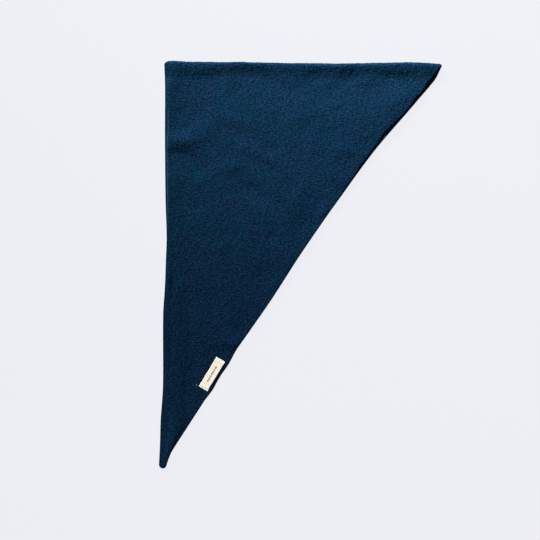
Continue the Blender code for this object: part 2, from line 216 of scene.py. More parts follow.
# The roll of the fold is uneven: across, change of its height, its reach down to the
# trough, its lean (under 1, it falls away sooner than it flattens)
ROLL_SHAPE = (
    (-219.0, 0.2, 25.0, 0.90), (-190.0, 0.5, 26.0, 1.05), (-160.0, 0.7, 26.0, 1.05),
    (-137.0, 0.3, 25.0, 0.95), (-116.0, 0.0, 26.0, 0.80), (-97.0, 0.0, 21.5, 0.75),
    (-78.0, 0.1, 20.0, 0.75), (-58.0, 0.2, 24.0, 0.80), (-36.0, 0.4, 31.0, 0.80),
    (-12.0, 0.4, 30.0, 0.80), (12.0, 0.7, 26.0, 0.80), (38.0, 0.6, 27.0, 0.75),
    (66.0, 1.3, 25.0, 0.75), (94.0, 0.4, 27.0, 0.80), (120.0, 0.6, 25.0, 0.85),
    (150.0, 1.1, 23.0, 1.00), (172.0, 0.5, 26.0, 0.95), (200.0, 0.0, 27.0, 0.90),
    (226.0, 0.0, 21.0, 0.80),
)

# How far each half lies inside the outline:
# along, upper half at the long edge, at the slanting edge, lower half at the same two
SET_BACK = (
    (318.0, 0.5, 1.4, 0.2, 1.6), (308.0, 1.0, 4.4, 0.0, 1.3), (296.0, 1.8, 6.4, 0.0, 0.0),
    (287.0, 2.3, 6.4, 0.0, 0.0), (276.0, 2.5, 4.4, 0.0, 0.0), (266.0, 2.6, 4.8, 0.0, 0.0),
    (254.0, 2.6, 3.0, 0.0, 0.0), (236.0, 2.5, 2.2, 0.0, 0.0), (225.0, 2.6, 4.0, 0.0, 0.0),
    (211.0, 2.6, 7.0, 0.0, 0.0), (197.0, 2.6, 4.5, 0.0, 0.0), (183.0, 2.5, 4.5, 0.0, 0.0),
    (170.0, 2.5, 2.6, 0.0, 0.0), (158.0, 2.5, 3.4, 0.0, 0.0), (144.0, 2.4, 2.0, 0.0, 0.0),
    (119.0, 2.3, 0.9, 0.0, 0.0), (88.0, 2.2, 0.4, 0.0, 0.3), (20.0, 0.4, 0.2, 0.4, 0.8),
    (-100.0, 0.0, 0.2, 1.2, 0.8), (-250.0, 0.0, 0.2, 1.4, 0.8), (-322.0, 0.0, 0.2, 1.2, 0.8),
)

# Folds of the upper half, each a soft ridge, or a trough where its rise is negative:
# name, across and along at its middle, heading from +X, half length, half width, rise
FOLDS = (
    ("swell behind the trough", 60.0, 256.0, 0.0, 140.0, 20.0, 0.6),
    ("swell near the corner", 158.0, 264.0, 24.0, 45.0, 17.0, 1.2),
    ("swell at the slanting edge", 134.0, 229.0, 70.0, 34.0, 24.0, 1.5),
    ("rise in the trough", -153.0, 292.0, 0.0, 14.0, 10.0, 0.6),
    ("rise in the trough", -116.0, 294.0, 0.0, 11.0, 12.0, 1.5),
    ("rise in the trough", -12.0, 296.0, 0.0, 20.0, 12.0, 1.9),
    ("rise in the trough", 39.0, 293.0, 0.0, 11.0, 10.0, 1.0),
    ("rise in the trough", 105.0, 294.0, 0.0, 20.0, 11.0, 2.4),
    ("lifted corner at the long edge", -206.0, 292.0, 85.0, 24.0, 13.0, 3.3),
    ("ridge from the long edge", -190.0, 197.0, 6.0, 30.0, 12.0, 2.8),
    ("its run towards the fold", -140.0, 222.0, 44.0, 30.0, 12.0, 0.7),
    ("its run to the middle", -102.0, 229.0, -20.0, 24.0, 11.0, 1.6),
    ("hollow over the ridge", -186.0, 231.0, 40.0, 28.0, 17.0, -3.2),
    ("hollow under the ridge", -184.0, 163.0, -22.0, 32.0, 16.0, -3.4),
    ("swell beside the hollow", -111.0, 155.0, 8.0, 24.0, 11.0, 1.4),
    ("ridge in the middle", -70.0, 177.0, -32.0, 30.0, 10.0, 2.2),
    ("ridge over it", -17.0, 231.0, 62.0, 22.0, 11.0, 0.5),
    ("hollow in the middle", -72.0, 114.0, -35.0, 28.0, 13.0, -2.6),
    ("long swell", -70.0, 80.0, 62.0, 120.0, 34.0, 0.7),
    ("swell down the middle", -1.0, 108.0, 60.0, 20.0, 12.0, 1.1),
    ("ridge at the slanting edge", 78.0, 181.0, -20.0, 24.0, 10.0, 1.4),
    ("hollow at the slanting edge", 5.0, 62.0, 40.0, 22.0, 12.0, -0.7),
    ("ridge along the slanting edge", -26.0, 22.0, 122.0, 26.0, 11.0, 0.5),
    ("hollow under it", -63.0, -18.0, 15.0, 20.0, 12.0, -1.3),
    ("hollow at the long edge", -178.0, 112.0, 100.0, 26.0, 12.0, -3.2),
    ("swell down the long edge", -197.0, -90.0, 89.0, 130.0, 9.0, 0.7),
    ("hollow beside it", -174.0, -150.0, 92.0, 90.0, 11.0, -0.8),
    ("slanting hollow", -146.0, -62.0, -58.0, 30.0, 13.0, -1.7),
    ("ridge over the label", -107.0, -127.0, -14.0, 25.0, 10.0, 2.3),
    ("ridge down to the tips", -204.0, -283.0, 80.0, 44.0, 9.0, 2.6),
)

# Smaller dents and swells of the upper half, in the same columns
SMALL_FOLDS = (
    ("swell by the slanting edge", 58.0, 137.0, -20.0, 22.0, 11.0, 0.9),
    ("hollow by the long edge", -176.0, 107.0, 20.0, 16.0, 9.0, -0.8),
    ("swell in the lower middle", -106.0, -86.0, -10.0, 20.0, 11.0, 0.5),
    ("swell in the middle", -20.0, 12.0, -30.0, 22.0, 11.0, 0.5),
    ("dent", -46.0, 184.0, 20.0, 14.0, 10.0, -1.1),
    ("dent", 7.0, 214.0, 80.0, 16.0, 11.0, -0.7),
    ("dent", 34.0, 176.0, -40.0, 14.0, 9.0, -0.6),
    ("dent", 42.0, 268.0, 10.0, 20.0, 10.0, -0.6),
    ("dent", -46.0, 46.0, 60.0, 14.0, 10.0, -0.9),
    ("dent", -70.0, 30.0, 80.0, 14.0, 9.0, -0.7),
    ("dent", -116.0, 114.0, 20.0, 12.0, 9.0, -0.5),
    ("dent", -121.0, 55.0, 60.0, 14.0, 9.0, -0.2),
    ("dent", -161.0, 95.0, 10.0, 12.0, 9.0, -0.9),
    ("dent", -174.0, -70.0, 70.0, 18.0, 9.0, -0.5),
    ("dent", -178.0, -201.0, 90.0, 28.0, 7.0, -1.4),
    ("dent", -94.0, -92.0, 60.0, 12.0, 8.0, -0.2),
    ("dent", -206.0, -129.0, 90.0, 12.0, 5.0, -0.5),
    ("dent by the rim", -217.0, -255.0, 90.0, 22.0, 6.0, -2.0),
    ("dent", 82.0, 170.5, 50.0, 11.0, 6.0, -0.4),
    ("dent", -101.9, -88.7, 60.0, 11.0, 7.0, -0.1),
    ("dent", 60.0, 248.0, 30.0, 14.0, 9.0, -0.7),
    ("pit in the trough", 71.0, 293.0, 0.0, 13.0, 9.0, -0.4),
    ("swell", -161.0, 63.0, 0.0, 12.0, 9.0, 0.3),
    ("swell", -129.0, 26.0, 20.0, 12.0, 9.0, 0.9),
    ("swell", -188.0, -34.0, 30.0, 12.0, 9.0, 0.6),
    ("swell at the rim", -212.0, -25.0, 90.0, 26.0, 5.0, 2.2),
    ("swell", 36.0, 84.0, 40.0, 12.0, 8.0, 1.2),
    ("swell", -97.0, 184.0, 10.0, 14.0, 9.0, 0.6),
    ("swell", 141.0, 226.0, 60.0, 14.0, 8.0, 0.6),
    ("pucker at the label's end", -124.0, -146.0, -30.0, 9.0, 4.0, -0.8),
)


def smooth(share):
    """Rises from 0 to 1 with no corner at either end."""
    share = np.clip(share, 0.0, 1.0)
    return share * share * (3.0 - 2.0 * share)


def turn_on(value, start, full):
    """Rises softly from 0 at the start to 1 where it is full, to either side."""
    return smooth((value - start) / (full - start))


def read_table(table, key, column=1):
    """The table's column at each key, on a smooth curve through the rows."""
    rows = np.array(sorted(row[:1] + row[column : column + 1] for row in table))
    keys, values = rows.T
    key = np.clip(key, keys[0], keys[-1])
    i = np.clip(np.searchsorted(keys, key, side="right") - 1, 0, len(keys) - 2)
    back, front = np.maximum(i - 1, 0), np.minimum(i + 2, len(keys) - 1)
    run = keys[i + 1] - keys[i]
    share = (key - keys[i]) / run
    leave = run * (values[i + 1] - values[back]) / (keys[i + 1] - keys[back])
    arrive = run * (values[front] - values[i]) / (keys[front] - keys[i])
    square, cube = share**2, share**3
    return (
        (2 * cube - 3 * square + 1) * values[i]
        + (cube - 2 * square + share) * leave
        + (3 * square - 2 * cube) * values[i + 1]
        + (cube - square) * arrive
    )


def cloudy(across, along, size, seed):
    """Soft clouds of about this size, between -1 and 1."""
    cells = 96
    grid = np.random.default_rng(seed).uniform(-1.0, 1.0, (cells, cells))
    u, v = across / size + cells / 2, along / size + cells / 2
    i, j = np.floor(u).astype(int), np.floor(v).astype(int)
    du, dv = smooth(u - i), smooth(v - j)
    corner = [[grid[(i + a) % cells, (j + b) % cells] for b in (0, 1)] for a in (0, 1)]
    low = corner[0][0] * (1 - dv) + corner[0][1] * dv
    high = corner[1][0] * (1 - dv) + corner[1][1] * dv
    return low * (1 - du) + high * du


def soft_folds(across, along, folds):
    """Rise of these soft folds at each place of the upper half."""
    rise = np.zeros_like(across)
    for _, middle_x, middle_y, heading, half_length, half_width, height in folds:
        turn = math.radians(heading)
        dx, dy = across - middle_x, along - middle_y
        lengthwise = (dx * math.cos(turn) + dy * math.sin(turn)) / half_length
        sideways = (dy * math.cos(turn) - dx * math.sin(turn)) / half_width
        rise += height * np.exp(-(lengthwise**2) - sideways**2)
    return rise


def upper_height(across, along):
    """Height of the upper half's outer side over the surface."""
    along = np.minimum(along, FOLD_LINE)
    lowest = 2 * CLOTH + GAP
    from_long = across - read_table(LONG_EDGE, along)
    from_slant = read_table(SLANT_EDGE, along) - across
    lift = read_table(ROLL_SHAPE, across)
    reach = read_table(ROLL_SHAPE, across, 2)
    lean = read_table(ROLL_SHAPE, across, 3)
    from_roll = FOLD_LINE - along - reach / 2
    by_tips, by_fold = LONG_SLACK
    least = by_tips + (by_fold - by_tips) * turn_on(along, *LONG_SLACK_TURN)
    slack = SLACK * (least + (1.0 - least) * smooth(from_long / SLACK_REACH))
    slack *= SLANT_SLACK + (1.0 - SLANT_SLACK) * smooth(from_slant / SLACK_REACH)
    slack *= smooth(from_roll / SLACK_REACH)
    folds = soft_folds(across, along, FOLDS + SMALL_FOLDS)
    folds *= smooth(TROUGH_SHARE + from_roll / TROUGH_REACH)
    for distance in (from_long, from_slant):
        folds *= smooth(EDGE_SHARE + distance / FOLD_FADE)
    fall = np.clip((FOLD_LINE - along) / reach, 0.0, 1.0) ** lean
    roll = (ROLL_HEIGHT + lift - lowest) * 0.5 * (1.0 + np.cos(math.pi * fall))
    return lowest + np.maximum(slack + folds + roll, LEAST_AIR)


def bowed(across, along):
    """The place along the scarf, with the fold's unevenness."""
    near_fold = smooth(1.0 - (FOLD_LINE - along) / BOW_REACH)
    return along + read_table(FOLD_BOW, across) * near_fold


def on_upper(across, along, out):
    """Places this far out from the upper half's outer side."""
    step = 0.5
    slope_x = upper_height(across + step, along) - upper_height(across - step, along)
    slope_y = upper_height(across, along + step) - upper_height(across, along - step)
    normal = np.stack([-slope_x, -slope_y, np.full_like(slope_x, 2 * step)], -1)
    normal /= np.linalg.norm(normal, axis=-1, keepdims=True)
    place = np.stack([across, bowed(across, along), upper_height(across, along)], -1)
    return place + normal * np.asarray(out)[..., None]


def lay_upper(across, along, depth):
    """Lays places of the flat upper half. Past the fold line they turn under."""
    laid = on_upper(across, along, depth - CLOTH)
    past = along - FOLD_LINE
    turn = np.clip(past / TURN_LENGTH, 0.0, 1.0) * math.pi
    half_height = upper_height(across, np.full_like(across, FOLD_LINE)) / 2
    radius = half_height - CLOTH + depth
    under = np.maximum(past - TURN_LENGTH, 0.0)
    fold_along = bowed(across, np.full_like(across, FOLD_LINE))
    turned_along = fold_along + radius * np.sin(turn) - under
    turned_level = np.maximum(half_height + radius * np.cos(turn), 0.0)
    turned = np.stack([across, turned_along, turned_level], -1)
    return np.where((past > 0.0)[..., None], turned, laid)


def lay_lower(across, along, depth):
    """Lays places of the flat lower half, straight on the surface."""
    return np.stack([across, bowed(across, along), np.maximum(depth, 0.0)], -1)


def label_place(lengthwise, sideways):
    """Where a place of the label is on the flat upper half."""
    cos, sin = math.cos(LABEL_HEADING), math.sin(LABEL_HEADING)
    across = LABEL_ACROSS + lengthwise * cos - sideways * sin
    along = LABEL_ALONG + lengthwise * sin + sideways * cos
    return across, along


def lay_label(lengthwise, sideways, depth):
    """Lays places of the flat label on the upper half's own places, moved out."""
    from_ends = np.maximum(1.0 - (2 * lengthwise / LABEL_LENGTH) ** 2, 0.0)
    free_side = smooth(0.5 - sideways / LABEL_WIDTH)
    bow = LABEL_BOW * from_ends * free_side
    sideways = sideways + LABEL_DRAWN * smooth(from_ends / 0.6) * free_side
    held_down = 0.25 * (1.0 - smooth(from_ends / 0.3))
    return on_upper(*label_place(lengthwise, sideways), GAP - held_down + depth + bow)


def corner_inset(radius, from_end):
    """How much narrower a rounded corner is, this far from its end."""
    short = np.clip(radius - from_end, 0.0, radius)
    return radius - np.sqrt(radius**2 - short**2)


def edges_at(along, half):
    """The long and the slanting edge of one half at places along the flat cloth."""
    columns = (1, 2) if half == "upper" else (3, 4)
    on_leaf = np.minimum(along, FOLD_LINE)
    long_edge = read_table(LONG_EDGE, on_leaf) + read_table(SET_BACK, on_leaf, columns[0])
    slant_edge = read_table(SLANT_EDGE, on_leaf) - read_table(SET_BACK, on_leaf, columns[1])
    radius = TIP_RADIUS - read_table(SET_BACK, TIP_ALONG, columns[0])
    below = np.clip(TIP_ALONG - along, 0.0, radius)
    half_width = np.sqrt(radius**2 - below**2)
    at_tip = below > 0.0
    long_edge = np.where(at_tip, TIP_ACROSS - half_width, long_edge)
    slant_edge = np.where(at_tip, np.minimum(slant_edge, TIP_ACROSS + half_width), slant_edge)
    if half == "lower":
        return long_edge, slant_edge
    share = np.clip((along - FOLD_LINE) / TURN_LENGTH, 0.0, 1.0)
    from_end = ROLL_HEIGHT / 2 * (1.0 - np.sin(math.pi * share))
    under = np.maximum(along - FOLD_LINE - TURN_LENGTH, 0.0)
    lower_long, lower_slant = edges_at(FOLD_LINE - under, "lower")
    turned_long = long_edge * (1 - share) + lower_long * share
    turned_slant = slant_edge * (1 - share) + lower_slant * share
    turned_long += corner_inset(LONG_CORNER, from_end)
    turned_slant -= corner_inset(SLANT_CORNER, from_end)
    turns = along > FOLD_LINE
    return np.where(turns, turned_long, long_edge), np.where(turns, turned_slant, slant_edge)


def cut_line(half, end):
    """The line that one half is cut along, counter-clockwise, with its way out.
    It lies inside the outline by the rounding of the edge."""
    count = round((end - TIP_ALONG) / OUTLINE_STEP)
    along = np.linspace(TIP_ALONG, end, count)
    long_edge, slant_edge = edges_at(along, half)
    radius = TIP_RADIUS - read_table(SET_BACK, TIP_ALONG, 1 if half == "upper" else 3)
    angle = np.radians(np.linspace(180.0, 360.0 + TIP_LAST_ANGLE, 14))[1:-1]
    arc = np.stack([TIP_ACROSS + radius * np.cos(angle), TIP_ALONG + radius * np.sin(angle)], 1)
    slant_side = np.stack([slant_edge, along], 1)
    long_side = np.stack([long_edge, along], 1)[::-1]
    line = np.concatenate([arc, slant_side, long_side])
    run = np.roll(line, -1, 0) - line
    run /= np.linalg.norm(run, axis=1, keepdims=True)
    before = np.roll(run, 1, 0)
    turn = 1.0 + (run * before).sum(1, keepdims=True)
    out = np.stack([(run + before)[:, 1], -(run + before)[:, 0]], 1) / np.maximum(turn, 0.3)
    return line - out * EDGE_ROUND, out


def nearest_on(line, out, points):
    """The nearest place of a closed line to each point, and the way out there. Each sharp
    corner gets the point that lands closest, or of several that meet, the one drawn farthest."""
    start, end = line, np.roll(line, -1, 0)
    run = end - start
    share = ((points[:, None] - start) * run).sum(-1) / (run**2).sum(-1)
    share = np.clip(share, 0.0, 1.0)
    place = start + share[..., None] * run
    best = np.linalg.norm(points[:, None] - place, axis=-1).argmin(1)
    row = np.arange(len(points))
    t = share[row, best][:, None]
    place, way = place[row, best], out[best] * (1 - t) + np.roll(out, -1, 0)[best] * t
    drawn_out = np.linalg.norm(points - place, axis=1)
    for corner in np.flatnonzero(np.linalg.norm(out, axis=1) > SHARP_TURN):
        distance = np.linalg.norm(place - line[corner], axis=1)
        met = distance < distance.min() + SAME_PLACE
        closest = np.where(met, drawn_out, -1.0).argmax()
        place[closest], way[closest] = line[corner], out[corner]
    return place, way


def draw_out(bm, rim):
    """Extrudes a rim of edges and returns the new points and the new rim."""
    made = bmesh.ops.extrude_edge_only(bm, edges=rim)["geom"]
    verts = [part for part in made if isinstance(part, bmesh.types.BMVert)]
    edges = [part for part in made if isinstance(part, bmesh.types.BMEdge)]
    new = set(verts)
    return verts, [edge for edge in edges if new.issuperset(edge.verts)]


def knit_face(half, end, margin=1000.0):
    """A flat grid that follows the stitches, trimmed to one half and, where a margin is
    given, to this much beside its edges. Its depth is the cloth's."""
    step_x, step_y = COURSE / POINTS_PER_STITCH, WALE / POINTS_PER_STITCH
    widest = max(abs(LONG_EDGE[-1][1]), SLANT_EDGE[0][1])
    columns = 2 * math.ceil(widest / step_x)
    rows = 2 * math.ceil((FOLD_LINE + TURN_LENGTH + SKEW * widest + TURN_UNDER) / step_y)
    bm = bmesh.new()
    bm.verts.layers.float_vector.new("outward")
    bm.verts.layers.float_vector.new("home")
    bmesh.ops.create_grid(bm, x_segments=columns, y_segments=rows, size=1.0)
    place = np.array([v.co for v in bm.verts])
    across = place[:, 0] * columns * step_x / 2
    along = place[:, 1] * rows * step_y / 2 + SKEW * across
    long_edge, slant_edge = edges_at(along, half)
    room = EDGE_ROUND + step_x * 0.4
    inside = (across > long_edge + room) & (across < slant_edge - room * 1.25)
    inside &= (along < end - room) & (along > TIP_ALONG - TIP_RADIUS + room)
    near_edge = (across < long_edge + margin) | (across > slant_edge - margin)
    inside &= near_edge | (along > end - margin)
    for vert, x, y, keep in zip(bm.verts, across, along, inside):
        vert.co, vert.tag = (x, y, CLOTH), bool(keep)
    outside = [f for f in bm.faces if not all(v.tag for v in f.verts)]
    bmesh.ops.delete(bm, geom=outside, context="FACES")
    lone = [f for f in bm.faces if sum(e.is_boundary for e in f.edges) > 2]
    bmesh.ops.delete(bm, geom=lone, context="FACES")
    return bm


def divide(bm, face, spacing):
    """Divides a flat face by straight cuts this far apart."""
    geometry = [face, *face.edges, *face.verts]
    spots = np.array([v.co for v in face.verts])
    for axis in (0, 1):
        low, high = spots[:, axis].min(), spots[:, axis].max()
        count = max(round((high - low) / spacing), 1)
        for i in range(1, count):
            through, direction = Vector(), Vector()
            through[axis] = low + (high - low) * i / count
            direction[axis] = 1.0
            geometry = bmesh.ops.bisect_plane(
                bm, geom=geometry, dist=0.2, plane_co=through, plane_no=direction
            )["geom"]


def round_edge(bm, rim, line, out, levels):
    """Draws a rim out to the cut line and round the cloth's edge, through levels of
    (depth, share of the rounding). Points that meet on the line become one. Returns the
    last rim, which has to be the only open one."""
    outward = bm.verts.layers.float_vector["outward"]
    home = bm.verts.layers.float_vector["home"]
    verts, rim = draw_out(bm, rim)
    spots = np.array([v.co[:2] for v in verts])
    place, way = nearest_on(line, out, spots)
    for vert, (x, y), (out_x, out_y) in zip(verts, place, way):
        vert.co = (x, y, vert.co.z)
        vert[home] = (x, y, 0.0)
        vert[outward] = (out_x, out_y, 0.0)
    for depth, share in levels:
        verts, rim = draw_out(bm, rim)
        for vert in verts:
            vert.co = vert[home] + vert[outward] * share * EDGE_ROUND
            vert.co.z = depth
    bmesh.ops.remove_doubles(bm, verts=bm.verts[:], dist=SAME_PLACE)
    return [edge for edge in bm.edges if edge.is_boundary]


def flat_area(half, end):
    """The area of one half's flat cut, in square metres."""
    along = np.linspace(TIP_ALONG - TIP_RADIUS, end, 2000)
    long_edge, slant_edge = edges_at(along, half)
    width = (slant_edge - long_edge)[1:]
    return float((width * np.diff(along)).sum()) * MM * MM


def stitches(across, along):
    """Relief of the knit: rounded ribs, each a row of slanting stitches."""
    rib = (along - SKEW * across) / WALE
    course = across / COURSE
    beside = np.abs(rib - np.round(rib))
    ridge = np.cos(2 * math.pi * (rib - 0.5))
    stitch = np.cos(2 * math.pi * (course - beside))
    return RIB_RISE * ridge + STITCH_RISE * stitch


def nap(across, along):
    """Relief of the milled surface: clouds of all sizes, from loop to hand."""
    rib = along - SKEW * across
    rise = np.zeros_like(across)
    for size, seed, height in NAP_CLOUDS:
        rise += height * cloudy(across, rib * 1.12, size, seed)
        rise += height * cloudy(across * 0.8 + rib * 0.6, rib * 0.8 - across * 0.6, size, seed + 50)
    return rise


def edge_ribs(from_edge):
    """The firmer edge of the knit: low ribs along it, fading inwards."""
    return 0.16 * np.cos(2 * math.pi * (from_edge - 1.9) / 3.5) * np.exp(-from_edge / 7.0)


def margin(across, along):
    """Relief of the lower half beside the upper one: a groove, and past it a curl where
    the slanting edge lifts."""
    upper_long, upper_slant = edges_at(along, "upper")
    past_slant = (across - upper_slant) / SLANT_WIDER
    start, end = GROOVE_SPAN
    raised = np.zeros_like(across)
    for beyond, groove_depth in ((upper_long - across, LONG_GROOVE), (past_slant, SLANT_GROOVE)):
        groove = turn_on(beyond, start, start + GROOVE_FADE)
        raised -= groove_depth * groove * turn_on(beyond, end, end - GROOVE_FADE)
    lifted = np.zeros_like(across)
    for middle, half_length in CURLS:
        lifted = np.maximum(lifted, np.exp(-(((along - middle) / half_length) ** 2)))
    return raised + CURL_RISE * lifted * turn_on(past_slant, *CURL_TURN)


def under_label(across, along):
    """1 under the label, fading to 0 just past it."""
    cos, sin = math.cos(LABEL_HEADING), math.sin(LABEL_HEADING)
    dx, dy = across - LABEL_ACROSS, along - LABEL_ALONG
    past_end = np.abs(dx * cos + dy * sin) - LABEL_LENGTH / 2
    past_side = np.abs(dy * cos - dx * sin) - LABEL_WIDTH / 2
    return smooth(1.0 - np.maximum(past_end, past_side) / 3.0)


def relief(across, along, half):
    """How far the knit's surface stands out from the plain cloth."""
    long_edge, slant_edge = edges_at(along, half)
    from_long, from_slant = across - long_edge, slant_edge - across
    fade = smooth(from_long / 2.5) * smooth(from_slant / 3.0)
    raised = (stitches(across, along) + nap(across, along)) * fade
    raised += edge_ribs(from_long) + 0.5 * edge_ribs(from_slant / SLANT_WIDER)
    if half == "lower":
        return np.minimum(raised, GAP * 0.7) + margin(across, along)
    raised *= 1.0 - 0.8 * under_label(across, along)
    long_drop = SHOULDER_DROP * (1.0 - CORNER_SHARE * turn_on(along, *CORNER_TURN))
    slant_drop = SLANT_DROP * turn_on(along, *SLANT_DROP_TURN)
    raised -= long_drop * (1.0 - smooth(from_long / SHOULDER_WIDTH))
    raised -= slant_drop * (1.0 - smooth(from_slant / SHOULDER_WIDTH))
    return raised


def finish_sheet(name, bm, raise_side, lay, side):
    """Lays a flat shell and makes it the named object. The side at this depth gets the
    relief, and each point keeps its place on the flat sheet."""
    bmesh.ops.recalc_face_normals(bm, faces=bm.faces[:])
    for layer in list(bm.verts.layers.float_vector.values()):
        bm.verts.layers.float_vector.remove(layer)
    mesh = bpy.data.meshes.new(name)
    bm.to_mesh(mesh)
    bm.free()
    flat = np.empty(len(mesh.vertices) * 3, np.float32)
    mesh.vertices.foreach_get("co", flat)
    x, y, depth = flat.reshape(-1, 3).astype(float).T
    depth = depth + raise_side(x, y) * np.clip(depth / side, 0.0, 1.0)
    laid = lay(x, y, depth) * MM
    mesh.vertices.foreach_set("co", laid.astype(np.float32).ravel())
    place = mesh.attributes.new("flat_place", "FLOAT_VECTOR", "POINT")
    spot = np.stack([x, y, depth], 1) * MM
    place.data.foreach_set("vector", spot.astype(np.float32).ravel())
    return show(name, mesh)


def mark_painted_rim_light(piece, half):
    """Notes on one half where its long edge gets a painted highlight (to 1) or painted shade (to
    -1).
    """
    mesh = piece.data
    flat = np.empty(len(mesh.vertices) * 3, np.float32)
    mesh.attributes["flat_place"].data.foreach_get("vector", flat)
    across, along, depth = flat.reshape(-1, 3).astype(float).T / MM
    long_edge, _ = edges_at(along, half)
    from_edge = across - long_edge
    past_step = turn_on(along, *PAINTED_RIM_STEP)
    share = np.zeros_like(across)
    for where, tone, places, widths, begins, ends in PAINTED_RIM_LINES:
        if where == half:
            inwards, half_width = (
                before + (past - before) * past_step for before, past in (places, widths)
            )
            line = np.exp(-(((from_edge - inwards) / half_width) ** 2))
            share += tone * line * turn_on(along, *begins) * turn_on(along, *ends)
    rim = mesh.attributes.new("rim", "FLOAT", "POINT")
    share *= depth > CLOTH / 2
    rim.data.foreach_set("value", share.astype(np.float32))


def show(name, mesh):
    """Makes a mesh an object of the scene, smooth all over."""
    mesh.shade_smooth()
    mesh.update()
    piece = bpy.data.objects.new(name, mesh)
    bpy.context.scene.collection.objects.link(piece)
    return piece


def make_upper_cloth():
    """The upper half of the scarf, with the roll of the fold."""
    end = FOLD_LINE + TURN_LENGTH + TURN_UNDER
    bm = knit_face("upper", end)
    round_the_fold = [
        edge
        for edge in bm.edges
        if min(v.co.y for v in edge.verts) > FOLD_LINE - 4.0
        and abs(edge.verts[0].co.x - edge.verts[1].co.x) < 0.1
    ]
    bmesh.ops.subdivide_edges(bm, edges=round_the_fold, cuts=1)
    line, out = cut_line("upper", end)
    rim = [edge for edge in bm.edges if edge.is_boundary]
    rim = round_edge(bm, rim, line, out, EDGE_LEVELS)
    inner = bmesh.ops.contextual_create(bm, geom=rim)["faces"][0]
    divide(bm, inner, 18.0)
    return finish_sheet(
        "knit_upper_half", bm, lambda x, y: relief(x, y, "upper"), lay_upper, CLOTH
    )


def make_lower_cloth():
    """The lower half of the scarf, of which only the margins show from above."""
    end = FOLD_LINE - TURN_UNDER
    bm = knit_face("lower", end, MARGIN)
    rim = [edge for edge in bm.edges if edge.is_boundary]
    spots = np.array([(edge.verts[0].co + edge.verts[1].co)[:2] for edge in rim]) / 2
    long_edge, slant_edge = edges_at(spots[:, 1], "lower")
    to_edge = np.minimum(spots[:, 0] - long_edge, slant_edge - spots[:, 0])
    to_edge = np.minimum(to_edge, end - spots[:, 1])
    outer = [edge for edge, distance in zip(rim, to_edge) if distance < MARGIN / 2]
    inner = [edge for edge, distance in zip(rim, to_edge) if distance >= MARGIN / 2]
    middle = bmesh.ops.contextual_create(bm, geom=inner)["faces"]
    line, out = cut_line("lower", end)
    last = round_edge(bm, outer, line, out, EDGE_LEVELS)
    under = bmesh.ops.contextual_create(bm, geom=last)["faces"]
    for face in middle + under:
        divide(bm, face, 18.0)
    return finish_sheet(
        "knit_lower_half", bm, lambda x, y: relief(x, y, "lower"), lay_lower, CLOTH
    )


def label_relief(lengthwise, sideways):
    """Relief of the label: its ends are turned under, and the sewing pulls them in."""
    from_end = LABEL_LENGTH / 2 - np.abs(lengthwise)
    turned_end = 0.16 * (1.0 - smooth((from_end - 5.2) / 2.0))
    sewn = np.exp(-(((from_end - SEWING_INSET) / 0.5) ** 2))
    pulled = 0.12 + 0.06 * np.cos(2 * math.pi * sideways / SEWING_PITCH)
    buckle = 0.12 * cloudy(lengthwise, sideways, 9.0, 21)
    return turned_end - sewn * pulled + buckle


def make_label():
    """The woven strip, with both ends turned under and sewn down."""
    half_length = LABEL_LENGTH / 2 - LABEL_EDGE_ROUND
    half_width = LABEL_WIDTH / 2 - LABEL_EDGE_ROUND
    bm = bmesh.new()
    bmesh.ops.create_grid(bm, x_segments=150, y_segments=44, size=1.0)
    for vert in bm.verts:
        x, y = vert.co.x * half_length, vert.co.y * half_width
        wander = float(cloudy(np.array([x]), np.array([7.0 * vert.co.y]), 6.0, 33)[0])
        y += 0.18 * wander * abs(vert.co.y) ** 3
        vert.co = (x, y, LABEL_THICK)
    rim = [edge for edge in bm.edges if edge.is_boundary]
    for depth, grow in ((0.6, 0.15), (0.35, 0.05), (0.1, -0.05), (0.0, -0.15)):
        verts, rim = draw_out(bm, rim)
        for vert in verts:
            out_x = math.copysign(grow, vert.co.x) * (abs(vert.co.x) > half_length - 0.3)
            out_y = math.copysign(grow, vert.co.y) * (abs(vert.co.y) > half_width - 0.4)
            vert.co = (vert.co.x + out_x, vert.co.y + out_y, depth)
    divide(bm, bmesh.ops.contextual_create(bm, geom=rim)["faces"][0], 4.0)
    return finish_sheet("woven_label", bm, label_relief, lay_label, LABEL_THICK)


def draw_thread(bm, path, radius, sides=8):
    """Draws a round thread along a path of points, closed at both ends."""
    ring = bmesh.ops.create_circle(bm, segments=sides, radius=radius, cap_ends=True)["verts"]
    last = len(path) - 1
    for i, here in enumerate(path):
        way = (path[min(i + 1, last)] - path[max(i - 1, 0)]).normalized()
        turn = way.to_track_quat("Z", "Y").to_matrix()
        if i > 0:
            rim = list({e for v in ring for e in v.link_edges if e.other_vert(v) in ring})
            ring, _ = draw_out(bm, rim)
        taper = 0.35 if i in (0, last) else 1.0
        for k, vert in enumerate(ring):
            angle = 2 * math.pi * k / sides
            spoke = Vector((math.cos(angle), math.sin(angle), 0.0)) * radius * taper
            vert.co = here + turn @ spoke
    bmesh.ops.contextual_create(bm, geom=[*ring])


def on_label(lengthwise, sideways, out):
    """A place this far over the label's upper side, in millimetres."""
    x, y = np.array([lengthwise]), np.array([sideways])
    return Vector(lay_label(x, y, LABEL_THICK + label_relief(x, y) + out)[0])


def on_cloth(across, along, out):
    """A place this far over the upper half, in millimetres."""
    return Vector(on_upper(np.array([across]), np.array([along]), np.array([out]))[0])


